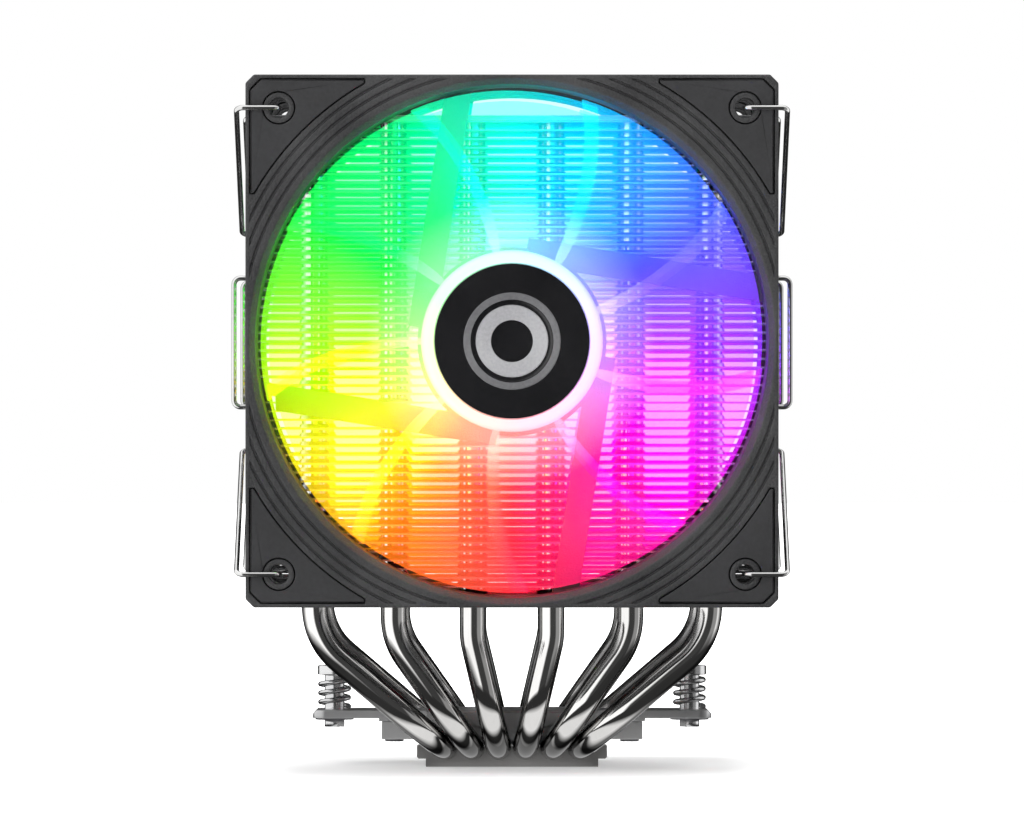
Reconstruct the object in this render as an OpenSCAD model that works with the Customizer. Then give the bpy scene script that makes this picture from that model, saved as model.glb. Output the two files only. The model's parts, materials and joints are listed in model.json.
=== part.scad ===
/* [Towers] */
// Number of fins in each tower
fin_count = 56; // [20:1:64]
// Distance from one fin to the next
fin_pitch = 2; // [1.4:0.1:2.6]
// Thickness of one fin
fin_t = 0.4; // [0.2:0.05:0.8]
// Width of both towers
tower_w = 118; // [112:1:150]
// Depth of one tower, front to back
tower_depth = 43; // [36:1:60]
// Height of the lowest fin above the contact face
fins_z = 38.2; // [34:0.1:60]
// Thickness of the cover plate on each tower
cover_t = 1.2; // [0.6:0.1:3]
// Depth of the side groove that the fan clips sit in
groove_depth = 2.6; // [2:0.1:4]
// Width of the side groove
groove_w = 3; // [2:0.1:5]

/* [Heat pipes] */
// Number of heat pipes
pipe_count = 6; // [6:1:6]
// Outer diameter of a heat pipe
pipe_d = 6; // [4:0.1:8]
// Metal left between two pipes in the base
pipe_gap = 0.25; // [0.2:0.05:2]
// Distance between pipes in the towers
pipe_tower_pitch = 18.15; // [12:0.05:19]
// Bend radius where a pipe leaves the base
pipe_base_bend = 15.5; // [10:0.5:20]
// Bend radius where a pipe turns up into its tower
pipe_tower_bend = 16; // [8:0.5:20]
// Height from a pipe's upper corner to the lowest fin
pipe_corner_drop = 8.2; // [5:0.1:14]

/* [Base] */
// Length of the cold plate, front to back
base_l = 40; // [30:1:50]
// Metal beside the outermost pipes
base_side = 1.25; // [0.8:0.05:6]
// Metal under the pipes
pipe_floor = 1.7; // [1:0.1:4]
// Metal between the pipes and the crossbar
pipe_roof = 2.5; // [1.5:0.1:6]
// How far each wing of the clamp block reaches past its side
wing_reach = 10.4; // [8:0.1:14]
// Thickness of a wing
wing_t = 4.2; // [3:0.1:6]

/* [Crossbar] */
// Distance between the two sprung screws
screw_spacing = 83; // [76:0.5:100]
// Bar length past each screw's centre
bar_end = 5; // [4.5:0.1:10]
// Depth of the bar, front to back
bar_depth = 20; // [12:0.5:30]
// Thickness of the bar at its ends
bar_t = 1.85; // [1.4:0.05:4]
// Extra thickness in the middle of the bar
bar_step = 0.7; // [0.3:0.05:2]
// Distance of a bar screw from the clamp block's side
bar_screw_reach = 7.5; // [5:0.1:8]
// Diameter of a bar screw
bar_screw_d = 3; // [2:0.1:4]

/* [Sprung screws] */
// Diameter of the screw head
head_d = 7.9; // [6:0.1:9]
// Height of the screw head
head_h = 2.2; // [1.8:0.1:4]
// Diameter of the threaded sleeve
sleeve_d = 4.7; // [4.2:0.1:5.2]
// Diameter of the thread in the sleeve
thread_d = 3; // [2.5:0.1:3.2]
// Depth of the thread in the sleeve
thread_depth = 9; // [5:0.5:10]
// Length of the spring at rest
spring_len = 8.05; // [6:0.05:14]
// Wire diameter of the spring
spring_wire = 1.2; // [0.6:0.1:1.4]
// Outer diameter of the spring
spring_d = 7.9; // [7.6:0.1:10]
// Turns of the spring
spring_turns = 3.25; // [2:0.25:6]
// How far the sleeve reaches under the bar
sleeve_tip = 2.3; // [1.4:0.1:5]

/* [Fans] */
// Width and height of a fan
fan_w = 120; // [92:1:150]
// Depth of a fan
fan_t = 25; // [25:1:38]
// Distance of the fan's screw holes from its edges
hole_inset = 7.5; // [6:0.1:9]
// Diameter of the fan's screw holes
hole_d = 4.4; // [4:0.1:5]
// Wall between the fan's duct and its flat sides
duct_wall = 2.2; // [1.8:0.1:4]
// Thickness of the fan's front and rear flanges
flange_t = 4; // [3:0.1:6]
// Gap between the duct and the blade tips
tip_gap = 1.1; // [0.6:0.1:3]
// Number of blades
blade_count = 9; // [5:1:11]
// Radius of the hub
hub_r = 20.5; // [19.5:0.1:23]
// Width of a rear strut
strut_w = 6; // [3:0.1:8]
// Diameter of the fan's shaft
shaft_d = 3; // [2:0.1:3.4]
// Height of the fans above the lowest fin
fan_lift = 0; // [-6:0.5:10]

/* [Fan clips] */
// Diameter of the clip wire
wire_d = 1.2; // [0.8:0.1:1.6]
// Bend radius of the clip wire
wire_bend = 1.5; // [1:0.1:2]
// Depth of the clip groove behind the fan's rear face
clip_reach = 20; // [16:0.5:30]
// Height of the arm's end above the fan's centre
clip_arm_end = 24.8; // [20:0.1:40]
// Height of the finger loop's end above the fan's centre
clip_loop_end = 14.8; // [8:0.1:18]
// Gap between the clip arm and the fan's side
clip_side_gap = 2; // [1.2:0.1:4]
// How far the finger loop stands outside the arm
clip_finger_out = 1.9; // [1:0.1:5]

/* [Hidden] */

$fn = 48;

// Clearances
press_gap = 0.03;
slip_gap = 0.1;
running_gap = 0.03;
seat_gap = 0.3;
cut_past = 1;

// A straight length of rod runs this far into a bend, whose rod is thinner by the step all round
rod_lap = 0.05;
rod_step = 0.01;

// Space in front of the middle fan for its clip wire
clip_space = 2.7;
tower_gap = fan_t + seat_gap + clip_space;
tower_y = (tower_gap + tower_depth) / 2;
fins_top = fins_z + (fin_count - 1) * fin_pitch + fin_t;

// Base heights, from the contact face up
pipe_base_pitch = pipe_d + pipe_gap;
base_w = pipe_count * pipe_base_pitch + 2 * base_side;
pipe_z = pipe_floor + pipe_d / 2;
pipe_straight = 0.5;
bar_seat_z = pipe_z + pipe_d / 2 + pipe_roof;
bar_bottom_z = bar_seat_z + bar_step;
bar_top_z = bar_bottom_z + bar_t;
block_top_z = bar_top_z - slip_gap;
wing_x = base_w / 2 + wing_reach;
bar_screw_x = base_w / 2 + bar_screw_reach;
bar_screw_head_r = 2.2;
bar_screw_head_h = 0.8;
bar_chamfer = 0.9;
bar_corner_r = 3;
bar_step_gap = 0.6;

// Small lugs on the cold plate's sides
lug_z = 1.3;
lug_h = 3.2;
lug_reach = 2.2;
lug_taper = 0.4;
lug_l = 9;

// Sprung screws
head_z = bar_top_z + spring_len;
ring_t = 0.5;
ring_r = 4.5;
ring_slot = 3;
ring_groove_r = sleeve_d / 2 - 0.35;
ring_z = bar_bottom_z - slip_gap - ring_t;
cross_w = 1.1;
cross_l = 4.8;
cross_depth = 1.3;
spring_steps = 20;
spring_sides = 8;

// Fan, from its rear face (0) to its front face (fan_t)
fan_half = fan_w / 2;
fan_z = fins_z + fan_lift + fan_half;
front_fan_y = -(tower_gap / 2 + tower_depth + seat_gap);
middle_fan_y = tower_gap / 2 - seat_gap;
hole_at = fan_half - hole_inset;
duct_r = fan_half - duct_wall;
lip_depth = 1.5;
lip_r = duct_r + lip_depth;
barrel_inset = 0.4;
barrel_r = fan_half - barrel_inset;
barrel_end_gap = 1;
corner_cut = 1.9;
pad_proud = 0.3;
pad_t = 1.5;
pad_edge = 1.15;
pad_reach = 26.7;
pad_arc_r = fan_half + 7;
pad_gap = 0.25;
boss_r = 3.5;
groove_line_w = 0.5;
groove_line_depth = 0.45;
groove_line_edge = 1;
groove_line_r = fan_half + 1.1;
groove_line_pitch = 2;
base_disc_r = hub_r + 1;
base_disc_t = 2.5;
base_top = pad_proud + base_disc_t;
strut_angle = -9;
strut_offset = 0.4;
tube_r = 4.6;
tube_top = 16;
bearing_r = 3.5;
bearing_floor = 1;
board_t = 1;
board_edge_gap = 0.3;
led_count = 12;
led_l = 3;
led_w = 2.8;
led_h = 1;
cable_notch_w = 7;
cable_notch_h = 3;
cable_notch_in = 4;

// Rotor
cup_bottom = base_top + board_t + led_h + seat_gap;
cup_top = fan_t - 1.6;
cup_wall = 1.6;
cup_inner_r = hub_r - cup_wall;
badge_r = 17.5;
badge_t = 1;
badge_recess = 0.6;
yoke_t = 0.9;
cup_front_wall = 2.5;
yoke_top = cup_top - cup_front_wall;
yoke_rise = 2.7;
yoke_bottom = base_top + board_t + yoke_rise;
yoke_r = cup_inner_r - slip_gap;
magnet_r = yoke_r - yoke_t - slip_gap;
magnet_t = 1.8;
magnet_drop = 4;
magnet_top = yoke_top - magnet_drop;
air_gap = 0.5;
stator_r = magnet_r - magnet_t - air_gap;
stator_rise = 3;
stator_z = base_top + board_t + stator_rise;
stator_h = 7;
stator_ring_w = 2;
pole_w = 3.4;
pole_tip_t = 1.6;
coil_w = 7;
coil_gap = 0.6;
coil_tip_gap = 0.8;
coil_wrap = 1;
boss_top = yoke_top;
boss_bottom = tube_top + 1;
tip_r = duct_r - tip_gap;
blade_pitch = 38;
blade_camber_r = 38;
blade_span = 46;
blade_t = 1.5;
blade_forward = 0.9;
blade_z = (cup_top + base_top) / 2 + blade_forward;

// Clips
clip_arm_x = max(tower_w, fan_w) / 2 + clip_side_gap;
clip_groove_x = tower_w / 2 - groove_depth + seat_gap + wire_d / 2;
clip_finger_x = clip_arm_x + clip_finger_out;
clip_front_z = fan_t + seat_gap + wire_d / 2;
clip_hook_depth = 3.2;
front_groove_y = front_fan_y + clip_reach;
rear_groove_y = middle_fan_y + clip_reach;

// ---------- helpers ----------

function unit(v) = v / norm(v);

function turn(p, i) = acos(unit(p[i] - p[i - 1]) * unit(p[i + 1] - p[i]));

// Length that the bend at point i takes from each leg
function bend_cut(p, i, r) = i == 0 || i == len(p) - 1 ? 0 : r[i] * tan(turn(p, i) / 2);

function side_of(u) = unit(cross(abs(u[2]) < 0.9 ? [0, 0, 1] : [1, 0, 0], u));

// Puts its children at c with their x, y and z along a, b and a x b
module in_frame(c, a, b) {
    n = cross(a, b);
    multmatrix([
        [a[0], b[0], n[0], c[0]],
        [a[1], b[1], n[1], c[1]],
        [a[2], b[2], n[2], c[2]],
        [0, 0, 0, 1]
    ]) children();
}

// Round rod of diameter d along the points p, with bend radius r[i] at each inner point
module bent_rod(p, d, r) {
    for (i = [0 : len(p) - 2]) {
        u = unit(p[i + 1] - p[i]);
        a = side_of(u);
        first = bend_cut(p, i, r) - (i == 0 ? 0 : rod_lap);
        last = bend_cut(p, i + 1, r) - (i == len(p) - 2 ? 0 : rod_lap);
        in_frame(p[i] + u * first, a, cross(u, a)) cylinder(d = d, h = norm(p[i + 1] - p[i]) - first - last);
    }
    for (i = [1 : len(p) - 2]) {
        u = unit(p[i] - p[i - 1]);
        v = unit(p[i + 1] - p[i]);
        half = turn(p, i) / 2;
        centre = p[i] + unit(v - u) * r[i] / cos(half);
        out = unit(p[i] - u * r[i] * tan(half) - centre);
        in_frame(centre, out, u) rotate_extrude(angle = 2 * half)
            translate([r[i], 0]) circle(d = d - 2 * rod_step);
    }
}

module rounded_rect(w, h, r) {
    square([w - 2 * r, h], center = true);
    square([w, h - 2 * r], center = true);
    for (x = [-1, 1], y = [-1, 1]) translate([x * (w / 2 - r), y * (h / 2 - r)]) circle(r = r);
}

module ring(outer_r, inner_r, h) {
    difference() {
        cylinder(r = outer_r, h = h);
        translate([0, 0, -cut_past]) cylinder(r = inner_r, h = h + 2 * cut_past);
    }
}

module four_corners() {
    for (a = [0 : 90 : 270]) rotate(a) children();
}

// Puts a fan piece, drawn from rear to front along z, on its tower
module at_fan(y) {
    translate([0, y, fan_z]) rotate([90, 0, 0]) children();
}

// ---------- base ----------

function pipe_base_x(i) = (i - (pipe_count + 1) / 2) * pipe_base_pitch;
function pipe_tower_x(i) = (i - (pipe_count + 1) / 2) * pipe_tower_pitch;

module pipe_grooves() {
    for (i = [1 : pipe_count])
        translate([pipe_base_x(i), base_l / 2 + cut_past, pipe_z])
            rotate([90, 0, 0]) cylinder(d = pipe_d + 2 * press_gap, h = base_l + 2 * cut_past);
}

module lug() {
    rotate([90, 0, 0]) linear_extrude(lug_l, center = true)
        polygon([
            [base_w / 2 - cut_past, lug_z], [base_w / 2 + lug_reach - lug_taper, lug_z],
            [base_w / 2 + lug_reach, lug_z + lug_taper], [base_w / 2 + lug_reach, pipe_z - lug_taper],
            [base_w / 2 + lug_taper, lug_z + lug_h], [base_w / 2 - cut_past, lug_z + lug_h]
        ]);
}

module cold_plate() {
    color("silver") difference() {
        union() {
            translate([-base_w / 2, -base_l / 2, 0]) cube([base_w, base_l, pipe_z]);
            lug();
            mirror([1, 0, 0]) lug();
        }
        pipe_grooves();
        translate([-fan_w / 2, -fan_w / 2, pipe_z]) cube([fan_w, fan_w, lug_h]);
    }
}

module pipe_clamp_block() {
    wing_bottom = bar_seat_z - wing_t;
    color("gainsboro") difference() {
        union() {
            translate([-base_w / 2, -base_l / 2, pipe_z]) cube([base_w, base_l, block_top_z - pipe_z]);
            translate([-wing_x, -bar_depth / 2, wing_bottom]) cube([2 * wing_x, bar_depth, wing_t]);
        }
        pipe_grooves();
        translate([-wing_x - cut_past, -bar_depth / 2 - slip_gap, bar_seat_z])
            cube([2 * (wing_x + cut_past), bar_depth + 2 * slip_gap, block_top_z]);
        for (x = [-1, 1]) translate([x * bar_screw_x, 0, wing_bottom - cut_past])
            cylinder(d = bar_screw_d + 2 * slip_gap, h = wing_t + 2 * cut_past);
    }
}

module mounting_bar() {
    bar_x = screw_spacing / 2 + bar_end;
    step_x = wing_x + bar_step_gap;
    color("silver") difference() {
        intersection() {
            rotate([90, 0, 0]) linear_extrude(bar_depth, center = true) polygon([
                [-step_x, bar_seat_z], [step_x, bar_seat_z], [step_x, bar_bottom_z],
                [bar_x, bar_bottom_z], [bar_x, bar_top_z - bar_chamfer],
                [bar_x - bar_chamfer, bar_top_z], [bar_chamfer - bar_x, bar_top_z],
                [-bar_x, bar_top_z - bar_chamfer], [-bar_x, bar_bottom_z], [-step_x, bar_bottom_z]
            ]);
            linear_extrude(bar_top_z + cut_past) rounded_rect(2 * bar_x, bar_depth, bar_corner_r);
        }
        for (x = [-1, 1]) {
            translate([x * screw_spacing / 2, 0, 0]) cylinder(d = sleeve_d + 2 * slip_gap, h = head_z);
            translate([x * bar_screw_x, 0, 0]) cylinder(d = bar_screw_d + 2 * press_gap, h = head_z);
        }
    }
}

module bar_screws() {
    wing_bottom = bar_seat_z - wing_t;
    color("dimgray") for (x = [-1, 1]) translate([x * bar_screw_x, 0, 0]) {
        translate([0, 0, wing_bottom - bar_screw_head_h]) cylinder(r = bar_screw_head_r, h = bar_screw_head_h);
        translate([0, 0, wing_bottom - cut_past / 2])
            cylinder(d = bar_screw_d, h = bar_top_z - wing_bottom + cut_past / 2 - slip_gap);
    }
}

// ---------- heat pipes ----------

module heat_pipe(i) {
    bx = pipe_base_x(i);
    tx = pipe_tower_x(i);
    corner_z = fins_z - pipe_corner_drop;
    lean = atan2(abs(tx - bx), corner_z - pipe_z);
    upper_bend = min(pipe_tower_bend, (pipe_corner_drop - pipe_straight) / tan(lean / 2));
    lower_bend = min(pipe_base_bend, tower_y - base_l / 2);
    leg = [[tx, -tower_y, fins_top], [tx, -tower_y, corner_z], [bx, -tower_y, pipe_z]];
    other_leg = [[bx, tower_y, pipe_z], [tx, tower_y, corner_z], [tx, tower_y, fins_top]];
    color("lightgray")
        bent_rod(concat(leg, other_leg), pipe_d, [0, upper_bend, lower_bend, lower_bend, upper_bend, 0]);
}

// ---------- towers ----------

module side_groove(y) {
    x = tower_w / 2 - groove_depth + groove_w / 2;
    for (s = [-1, 1]) {
        translate([s * x, y]) circle(d = groove_w);
        translate([s * (x + groove_w / 2), y]) square(groove_w, center = true);
    }
}

module fin_outline(y, groove_y) {
    difference() {
        translate([-tower_w / 2, y - tower_depth / 2]) square([tower_w, tower_depth]);
        side_groove(groove_y);
    }
}

module fin_stack(y, groove_y) {
    color("whitesmoke") for (k = [0 : fin_count - 1])
        translate([0, 0, fins_z + k * fin_pitch]) linear_extrude(fin_t) difference() {
            fin_outline(y, groove_y);
            for (i = [1 : pipe_count])
                translate([pipe_tower_x(i), y]) circle(d = pipe_d + 2 * press_gap);
        }
}

module cover_plate(y, groove_y) {
    color("silver") translate([0, 0, fins_top]) linear_extrude(cover_t) fin_outline(y, groove_y);
}

// ---------- sprung screws ----------

function helix_point(t, r, h) = [r * cos(360 * t * spring_turns), r * sin(360 * t * spring_turns),
    spring_wire / 2 + t * (h - spring_wire)];

// Coil spring swept as rings of points around a helix
module spring(x) {
    steps = ceil(spring_steps * spring_turns);
    coil_r = (spring_d - spring_wire) / 2;
    points = [for (s = [0 : steps], k = [0 : spring_sides - 1])
        let (
            t = s / steps,
            turn_angle = 360 * t * spring_turns,
            around = 360 * (k + 0.5) / spring_sides,
            out = spring_wire / 2 * cos(around),
            up = spring_wire / 2 * sin(around)
        )
        helix_point(t, coil_r, spring_len) + [out * cos(turn_angle), out * sin(turn_angle), up]];
    sides = [for (s = [0 : steps - 1], k = [0 : spring_sides - 1])
        let (a = s * spring_sides + k, b = s * spring_sides + (k + 1) % spring_sides)
        [a, a + spring_sides, b + spring_sides, b]];
    start = [for (k = [0 : spring_sides - 1]) k];
    end = [for (k = [spring_sides - 1 : -1 : 0]) steps * spring_sides + k];
    color("gray") translate([x, 0, bar_top_z]) polyhedron(points, concat(sides, [start, end]));
}

module retaining_ring(x) {
    color("dimgray") translate([x, 0, ring_z]) difference() {
        ring(ring_r, ring_groove_r + running_gap, ring_t);
        translate([-ring_slot / 2, 0, -cut_past]) cube([ring_slot, ring_r + cut_past, ring_t + 2 * cut_past]);
    }
}

module spring_screw(x) {
    tip_z = bar_bottom_z - sleeve_tip;
    color("silver") translate([x, 0, 0]) difference() {
        union() {
            translate([0, 0, head_z]) cylinder(d = head_d, h = head_h);
            translate([0, 0, tip_z]) cylinder(d = sleeve_d, h = head_z - tip_z + cut_past / 2);
        }
        translate([0, 0, ring_z - running_gap])
            ring(sleeve_d, ring_groove_r, ring_t + 2 * running_gap);
        translate([0, 0, tip_z - cut_past]) cylinder(d = thread_d, h = thread_depth + cut_past);
        translate([0, 0, head_z + head_h]) for (a = [0, 90]) rotate(a)
            cube([cross_l, cross_w, 2 * cross_depth], center = true);
    }
}

// ---------- fan frame ----------

module frame_outline() {
    c = fan_half - corner_cut;
    polygon([
        [c, -fan_half], [fan_half, -c], [fan_half, c], [c, fan_half],
        [-c, fan_half], [-fan_half, c], [-fan_half, -c], [-c, -fan_half]
    ]);
}

// Outline of the pad in the upper right corner, grown by g
module pad_outline(g) {
    outer = fan_half - pad_edge + g;
    inner = fan_half - pad_reach - g;
    cut = corner_cut + pad_edge / 2;
    difference() {
        polygon([[inner, inner], [outer, inner], [outer, outer - cut], [outer - cut, outer], [inner, outer]]);
        circle(r = pad_arc_r - g, $fn = 96);
        translate([hole_at, hole_at]) circle(r = boss_r + pad_gap - g);
    }
}

module corner_grooves() {
    intersection() {
        for (k = [0 : 2]) {
            r = groove_line_r + k * groove_line_pitch;
            ring(r + groove_line_w / 2, r - groove_line_w / 2, groove_line_depth + cut_past, $fn = 96);
        }
        translate([0, 0, groove_line_depth])
            cube([fan_w - 2 * groove_line_edge, fan_w - 2 * groove_line_edge, 4], center = true);
    }
}

module rear_strut() {
    intersection() {
        translate([0, 0, pad_proud]) cylinder(r = duct_r + 1, h = base_disc_t);
        rotate(strut_angle) translate([0, hub_r + strut_offset - strut_w / 2, pad_proud])
            cube([duct_r + 2, strut_w, base_disc_t]);
    }
}

module fan_frame() {
    front = fan_t - pad_proud;
    color([0.12, 0.12, 0.12]) difference() {
        union() {
            difference() {
                union() {
                    translate([0, 0, pad_proud]) linear_extrude(flange_t) frame_outline();
                    translate([0, 0, front - flange_t]) linear_extrude(flange_t) frame_outline();
                    translate([0, 0, pad_proud + barrel_end_gap])
                        cylinder(r = barrel_r, h = front - pad_proud - 2 * barrel_end_gap, $fn = 96);
                }
                translate([0, 0, -cut_past]) cylinder(r = duct_r, h = fan_t + 2 * cut_past, $fn = 96);
                translate([0, 0, front - lip_depth])
                    cylinder(r1 = duct_r, r2 = lip_r + lip_depth, h = 2 * lip_depth, $fn = 96);
            }
            four_corners() rear_strut();
            translate([0, 0, pad_proud]) cylinder(r = base_disc_r, h = base_disc_t);
            translate([0, 0, pad_proud]) cylinder(r = tube_r, h = tube_top - pad_proud);
        }
        translate([0, 0, bearing_floor]) cylinder(r = bearing_r + press_gap, h = fan_t);
        four_corners() {
            translate([hole_at, hole_at, -cut_past]) cylinder(d = hole_d, h = fan_t + 2 * cut_past);
            translate([0, 0, fan_t - pad_t]) linear_extrude(pad_t + cut_past) pad_outline(pad_gap);
            translate([0, 0, -cut_past]) linear_extrude(pad_t + cut_past) pad_outline(pad_gap);
        }
        translate([0, 0, front - groove_line_depth]) corner_grooves();
        translate([-fan_half - cut_past, -duct_r / 3, pad_proud - cut_past])
            cube([fan_half - duct_r + cut_past + cable_notch_in, cable_notch_w, cable_notch_h + cut_past]);
    }
}

module fan_pads() {
    color([0.2, 0.2, 0.2]) four_corners() for (z = [0, fan_t - pad_t])
        translate([0, 0, z]) linear_extrude(pad_t) pad_outline(0);
}

module bearing() {
    color("tan") translate([0, 0, bearing_floor])
        ring(bearing_r, shaft_d / 2 + running_gap, tube_top - bearing_floor);
}

// ---------- motor ----------

module stator_core() {
    color("lightsteelblue") translate([0, 0, stator_z]) linear_extrude(stator_h) difference() {
        union() {
            circle(r = tube_r + stator_ring_w);
            intersection() {
                circle(r = stator_r);
                union() {
                    four_corners() translate([0, -pole_w / 2]) square([stator_r, pole_w]);
                    difference() {
                        circle(r = stator_r + 1);
                        circle(r = stator_r - pole_tip_t);
                        four_corners() rotate(45) square([2 * stator_r, pole_w / 2], center = true);
                    }
                }
            }
        }
        circle(r = tube_r + press_gap);
    }
}

module stator_coils() {
    inner = tube_r + stator_ring_w + coil_gap;
    length = stator_r - pole_tip_t - coil_tip_gap - inner;
    color([0.72, 0.45, 0.2]) four_corners() difference() {
        translate([inner, -coil_w / 2, stator_z - coil_wrap]) cube([length, coil_w, stator_h + 2 * coil_wrap]);
        translate([inner - cut_past, -pole_w / 2 - slip_gap, stator_z - slip_gap])
            cube([length + 2 * cut_past, pole_w + 2 * slip_gap, stator_h + 2 * slip_gap]);
    }
}

module circuit_board() {
    color("darkgreen") translate([0, 0, base_top]) ring(hub_r - board_edge_gap, tube_r + slip_gap, board_t);
}

module leds() {
    color("white") for (k = [0 : led_count - 1]) rotate(k * 360 / led_count)
        translate([cup_inner_r - led_l, -led_w / 2, base_top + board_t]) cube([led_l, led_w, led_h]);
}

module rear_label() {
    color("gray") cylinder(r = badge_r, h = pad_proud);
}

// ---------- rotor ----------

// One blade: a curved plate that runs outwards from the hub
module blade() {
    difference() {
        intersection() {
            translate([0, 0, blade_z]) rotate([90, 0, 90]) linear_extrude(tip_r + 1)
                rotate(blade_pitch) translate([0, -blade_camber_r * cos(blade_span / 2)]) difference() {
                    intersection() {
                        circle(r = blade_camber_r + blade_t / 2, $fn = 96);
                        polygon([[0, 0],
                            2 * blade_camber_r * [sin(blade_span / 2), cos(blade_span / 2)],
                            2 * blade_camber_r * [-sin(blade_span / 2), cos(blade_span / 2)]]);
                    }
                    circle(r = blade_camber_r - blade_t / 2, $fn = 96);
                }
            cylinder(r = tip_r, h = fan_t, $fn = 96);
        }
        translate([0, 0, -cut_past]) cylinder(r = hub_r - cup_wall / 2, h = fan_t + 2 * cut_past);
    }
}

module impeller() {
    color([0.8, 0.9, 1, 0.8]) {
        difference() {
            translate([0, 0, cup_bottom]) cylinder(r = hub_r, h = cup_top - cup_bottom);
            translate([0, 0, cup_bottom - cut_past]) cylinder(r = cup_inner_r, h = yoke_top - cup_bottom + cut_past);
            translate([0, 0, cup_top - badge_recess]) cylinder(r = badge_r + slip_gap, h = badge_t + cut_past);
        }
        translate([0, 0, boss_bottom]) ring(bearing_r, shaft_d / 2 + press_gap, boss_top - boss_bottom);
        for (k = [0 : blade_count - 1]) rotate(k * 360 / blade_count) blade();
    }
}

module rotor_yoke() {
    color("slategray") difference() {
        translate([0, 0, yoke_bottom]) cylinder(r = yoke_r, h = yoke_top - yoke_bottom);
        translate([0, 0, yoke_bottom - cut_past])
            cylinder(r = yoke_r - yoke_t, h = yoke_top - yoke_t - yoke_bottom + cut_past);
        cylinder(r = bearing_r + slip_gap, h = fan_t);
    }
}

module rotor_magnet() {
    color([0.25, 0.22, 0.2]) translate([0, 0, yoke_bottom])
        ring(magnet_r, magnet_r - magnet_t, magnet_top - yoke_bottom);
}

module shaft() {
    color("silver") translate([0, 0, bearing_floor + seat_gap])
        cylinder(d = shaft_d, h = boss_top - bearing_floor - seat_gap);
}

module hub_badge() {
    color([0.05, 0.05, 0.05]) translate([0, 0, cup_top - badge_recess]) cylinder(r = badge_r, h = badge_t);
}

// ---------- clips ----------

// Upper half of a clip's wire, from its hook to the middle of its finger loop
function clip_half(s) = [
    [hole_at, s * hole_at, fan_t - clip_hook_depth],
    [hole_at, s * hole_at, clip_front_z],
    [clip_arm_x, s * hole_at, clip_front_z],
    [clip_arm_x, s * clip_arm_end, -clip_reach],
    [clip_groove_x, s * clip_arm_end, -clip_reach],
    [clip_groove_x, s * clip_loop_end, -clip_reach],
    [clip_finger_x, s * clip_loop_end, -clip_reach]
];

module wire_clip() {
    upper = clip_half(1);
    lower = clip_half(-1);
    last = len(upper) - 1;
    path = concat(upper, [for (i = [last : -1 : 0]) lower[i]]);
    color("gainsboro") bent_rod(path, wire_d, [for (p = path) wire_bend], $fn = 32);
}

// ---------- assembly ----------

cold_plate();
pipe_clamp_block();
mounting_bar();
bar_screws();
for (i = [1 : pipe_count])
    heat_pipe(i);
fin_stack(-tower_y, front_groove_y);  // front_fin_stack
fin_stack(tower_y, rear_groove_y);  // rear_fin_stack
cover_plate(-tower_y, front_groove_y);  // front_cover_plate
cover_plate(tower_y, rear_groove_y);  // rear_cover_plate

for (side = [["left", -screw_spacing / 2], ["right", screw_spacing / 2]]) {
    spring(side[1]);
    retaining_ring(side[1]);
    spring_screw(side[1]);
}

for (fan = [["front", front_fan_y], ["middle", middle_fan_y]]) {
    at_fan(fan[1]) fan_frame();
    at_fan(fan[1]) fan_pads();
    at_fan(fan[1]) bearing();
    at_fan(fan[1]) stator_core();
    at_fan(fan[1]) stator_coils();
    at_fan(fan[1]) circuit_board();
    at_fan(fan[1]) leds();
    at_fan(fan[1]) rear_label();
    at_fan(fan[1]) impeller();
    at_fan(fan[1]) rotor_yoke();
    at_fan(fan[1]) rotor_magnet();
    at_fan(fan[1]) shaft();
    at_fan(fan[1]) hub_badge();
    at_fan(fan[1]) wire_clip();
    at_fan(fan[1]) mirror([1, 0, 0]) wire_clip();
}
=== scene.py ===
"""Looks of a dual-tower processor cooler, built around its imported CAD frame.

Every length is in metres, in the CAD model's own frame: +Z up, the fans' open faces look along -Y.
"""
import json
import math

import bmesh
import bpy
from mathutils import Matrix, Vector

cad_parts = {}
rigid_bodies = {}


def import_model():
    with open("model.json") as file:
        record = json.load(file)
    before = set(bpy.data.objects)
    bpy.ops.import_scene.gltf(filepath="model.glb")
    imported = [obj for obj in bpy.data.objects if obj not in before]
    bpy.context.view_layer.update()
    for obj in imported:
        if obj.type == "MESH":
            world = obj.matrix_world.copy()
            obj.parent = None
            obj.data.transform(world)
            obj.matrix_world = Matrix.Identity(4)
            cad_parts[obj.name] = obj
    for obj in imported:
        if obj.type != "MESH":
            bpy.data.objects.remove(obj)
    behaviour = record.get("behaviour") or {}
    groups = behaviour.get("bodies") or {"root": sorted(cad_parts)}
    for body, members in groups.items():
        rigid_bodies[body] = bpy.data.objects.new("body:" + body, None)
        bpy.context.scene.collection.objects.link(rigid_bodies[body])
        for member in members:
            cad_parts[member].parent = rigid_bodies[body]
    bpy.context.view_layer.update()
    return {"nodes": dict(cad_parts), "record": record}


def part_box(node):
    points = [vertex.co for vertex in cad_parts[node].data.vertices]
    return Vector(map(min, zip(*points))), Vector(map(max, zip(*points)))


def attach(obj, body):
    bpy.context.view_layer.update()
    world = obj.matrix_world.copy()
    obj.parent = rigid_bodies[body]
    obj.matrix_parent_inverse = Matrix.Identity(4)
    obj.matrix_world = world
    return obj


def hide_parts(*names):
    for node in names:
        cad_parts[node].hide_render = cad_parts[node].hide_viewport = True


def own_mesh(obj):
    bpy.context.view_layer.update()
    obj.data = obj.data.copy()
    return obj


bl_info = {
    "name": "Processor Tower Cooler",
    "version": (1, 0, 0),
    "blender": (4, 5, 0),
    "location": "View3D > Sidebar > Cooler",
    "description": "Builds the visible pieces and finishes of a dual-tower processor cooler around its CAD frame",
    "category": "Object",
}

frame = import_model()
CAD = frame["nodes"]
MM = 0.001
FANS = ("front", "middle")
SIDES = (("left", -1), ("right", 1))
PIPES = range(1, 7)
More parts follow.
